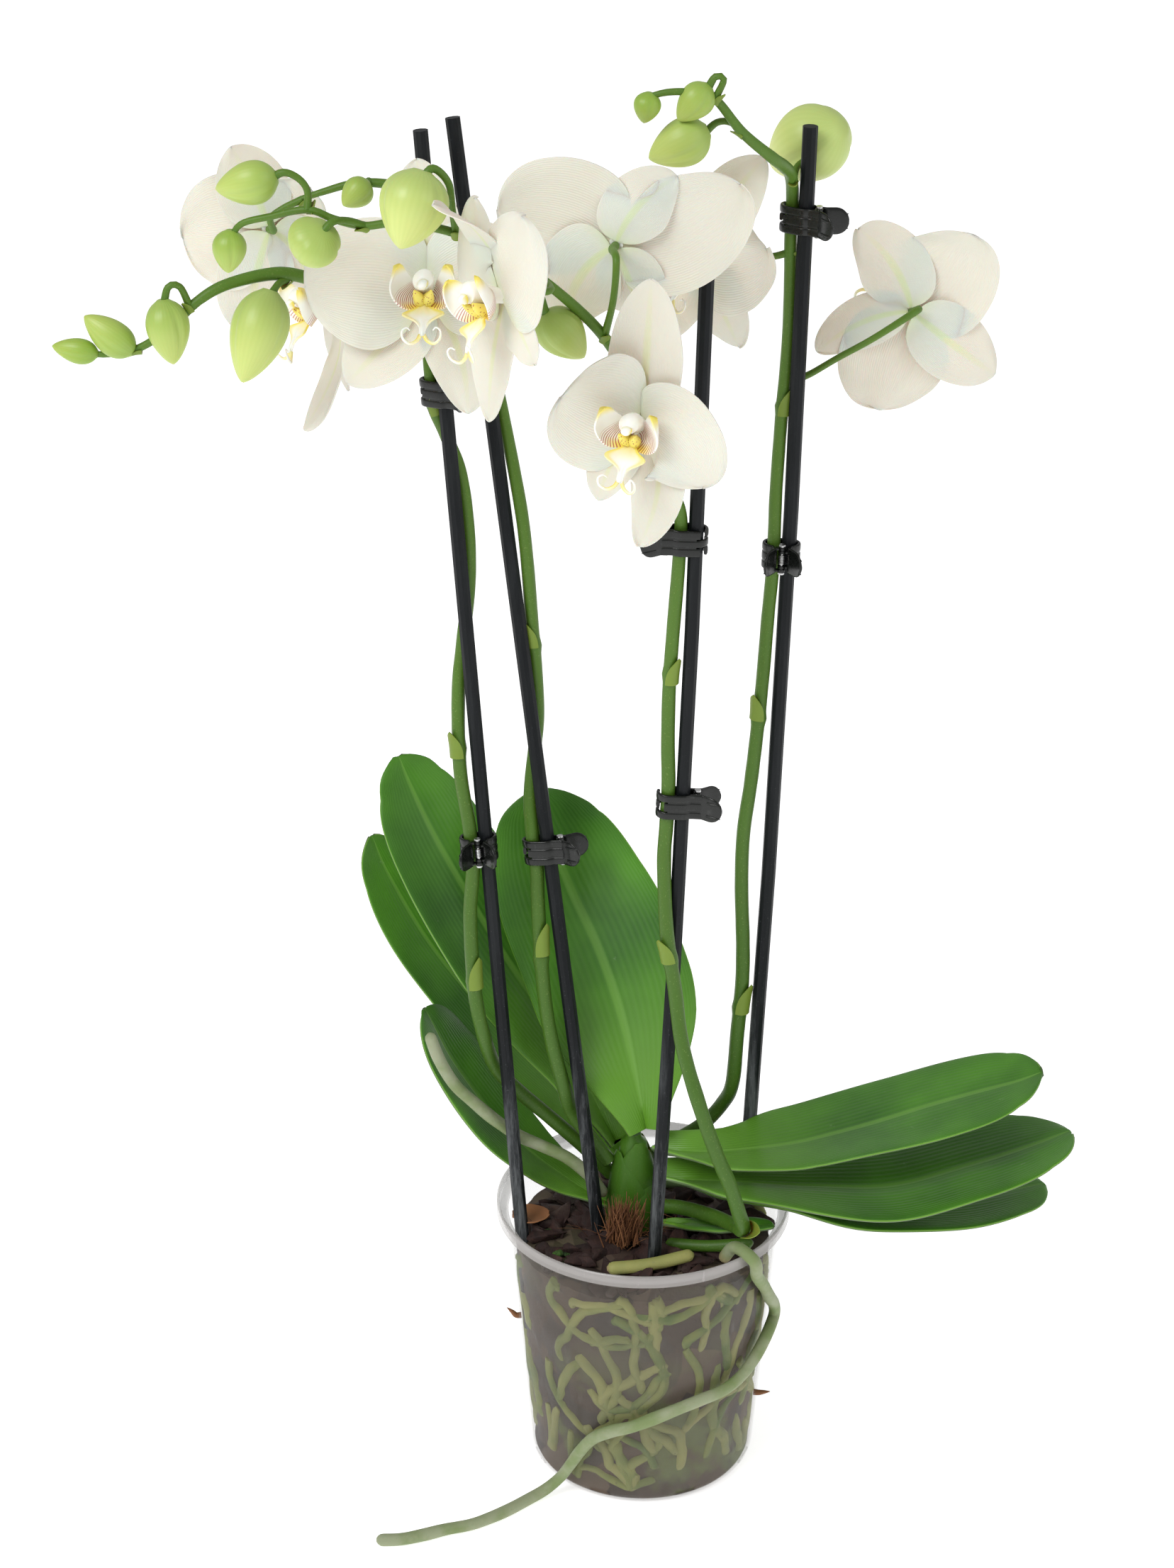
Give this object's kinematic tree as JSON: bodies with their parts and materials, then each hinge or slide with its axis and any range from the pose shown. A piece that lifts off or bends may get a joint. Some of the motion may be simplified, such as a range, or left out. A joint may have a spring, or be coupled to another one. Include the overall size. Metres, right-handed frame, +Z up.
{
  "type": "potted orchid",
  "caption": "Moth orchid in a clear nursery pot of bark, with broad leaves, trailing root and arching flower spikes clipped to thin stakes.",
  "frame": {"origin": "centre of the pot's underside", "axes": "+Z up, -Y towards the front of the plant, +X to its right"},
  "size_m": [0.3874, 0.2069, 0.5894],
  "materials": {
    "clear_plastic": "thin translucent milky clear moulding",
    "stake_plastic": "satin black stake with pale lime marks near the bark",
    "clip_plastic": "glossy black moulding",
    "pin_steel": "bright steel wire",
    "bark": "damp dark bark chips",
    "stem_green": "smooth waxy green",
    "spike_green": "smooth waxy green",
    "leaf_green": "thick waxy leaf with a soft gloss",
    "petal_white": "thin waxy white tissue",
    "lip_yellow": "waxy yellow and white tissue",
    "root_grey": "silvery spongy root skin"
  },
  "bodies": {
    "plant": {"bark_medium": "bark", "clip_centre_lower_fixed_jaw": "clip_plastic", "clip_centre_lower_pin": "pin_steel", "clip_centre_upper_fixed_jaw": "clip_plastic", "clip_centre_upper_pin": "pin_steel", "clip_inner_left_fixed_jaw": "clip_plastic", "clip_inner_left_pin": "pin_steel", "clip_left_lower_fixed_jaw": "clip_plastic", "clip_left_lower_pin": "pin_steel", "clip_left_upper_fixed_jaw": "clip_plastic", "clip_left_upper_pin": "pin_steel", "clip_right_lower_fixed_jaw": "clip_plastic", "clip_right_lower_pin": "pin_steel", "clip_right_upper_fixed_jaw": "clip_plastic", "clip_right_upper_pin": "pin_steel", "crown_stem": "stem_green", "cut_root": "root_grey", "cut_spike": "spike_green", "flower_centre_back_lip": "lip_yellow", "flower_centre_back_tepals": "petal_white", "flower_centre_low_lip": "lip_yellow", "flower_centre_low_tepals": "petal_white", "flower_far_left_back_lip": "lip_yellow", "flower_far_left_back_tepals": "petal_white", "flower_far_left_side_lip": "lip_yellow", "flower_far_left_side_tepals": "petal_white", "flower_left_front_lip": "lip_yellow", "flower_left_front_tepals": "petal_white", "flower_left_profile_lip": "lip_yellow", "flower_left_profile_tepals": "petal_white", "flower_right_back_lip": "lip_yellow", "flower_right_back_tepals": "petal_white", "flower_right_front_lip": "lip_yellow", "flower_right_front_tepals": "petal_white", "leaf_centre": "leaf_green", "leaf_left_back": "leaf_green", "leaf_left_low": "leaf_green", "leaf_left_tall": "leaf_green", "leaf_right_low": "leaf_green", "leaf_right_middle": "leaf_green", "leaf_right_small": "leaf_green", "leaf_right_top": "leaf_green", "pot": "clear_plastic", "spike_centre": "spike_green", "spike_inner_left": "spike_green", "spike_left": "spike_green", "spike_right": "spike_green", "stake_centre": "stake_plastic", "stake_inner_left": "stake_plastic", "stake_left": "stake_plastic", "stake_right": "stake_plastic", "trailing_root": "root_grey", "upright_root": "root_grey"},
    "clip_left_upper_jaw": {"clip_left_upper_moving_jaw": "clip_plastic"},
    "clip_left_lower_jaw": {"clip_left_lower_moving_jaw": "clip_plastic"},
    "clip_inner_left_jaw": {"clip_inner_left_moving_jaw": "clip_plastic"},
    "clip_centre_upper_jaw": {"clip_centre_upper_moving_jaw": "clip_plastic"},
    "clip_centre_lower_jaw": {"clip_centre_lower_moving_jaw": "clip_plastic"},
    "clip_right_upper_jaw": {"clip_right_upper_moving_jaw": "clip_plastic"},
    "clip_right_lower_jaw": {"clip_right_lower_moving_jaw": "clip_plastic"}
  },
  "joints": [
    {"name": "clip_left_upper_hinge", "type": "hinge", "parent": "plant", "child": "clip_left_upper_jaw", "pos_m": [-0.07155, 0.00709, 0.46646], "axis": [0.0732, -0.0502, -0.9961], "range_deg": [0, 20], "stiffness_Nm_per_rad": 0.03, "springref_deg": -8.59},
    {"name": "clip_left_lower_hinge", "type": "hinge", "parent": "plant", "child": "clip_left_lower_jaw", "pos_m": [-0.06524, -0.0044, 0.28204], "axis": [0.0732, -0.0502, -0.9961], "range_deg": [0, 8], "stiffness_Nm_per_rad": 0.03, "springref_deg": -8.59},
    {"name": "clip_inner_left_hinge", "type": "hinge", "parent": "plant", "child": "clip_inner_left_jaw", "pos_m": [-0.033, 0.00488, 0.27871], "axis": [0.1176, -0.0893, -0.989], "range_deg": [0, 20], "stiffness_Nm_per_rad": 0.03, "springref_deg": -8.59},
    {"name": "clip_centre_upper_hinge", "type": "hinge", "parent": "plant", "child": "clip_centre_upper_jaw", "pos_m": [0.00547, -0.03911, 0.42729], "axis": [-0.026, 0.0287, -0.9992], "range_deg": [0, 20], "stiffness_Nm_per_rad": 0.03, "springref_deg": -8.59},
    {"name": "clip_centre_lower_hinge", "type": "hinge", "parent": "plant", "child": "clip_centre_lower_jaw", "pos_m": [0.0185, -0.03599, 0.31881], "axis": [-0.0358, 0.0287, -0.9989], "range_deg": [0, 20], "stiffness_Nm_per_rad": 0.03, "springref_deg": -8.59},
    {"name": "clip_right_upper_hinge", "type": "hinge", "parent": "plant", "child": "clip_right_upper_jaw", "pos_m": [0.0618, 0.02122, 0.52792], "axis": [-0.0205, -0.005, -0.9998], "range_deg": [0, 20], "stiffness_Nm_per_rad": 0.03, "springref_deg": -8.59},
    {"name": "clip_right_lower_hinge", "type": "hinge", "parent": "plant", "child": "clip_right_lower_jaw", "pos_m": [0.05119, 0.01796, 0.39611], "axis": [-0.0283, -0.005, -0.9996], "range_deg": [0, 8], "stiffness_Nm_per_rad": 0.03, "springref_deg": -8.59}
  ]
}
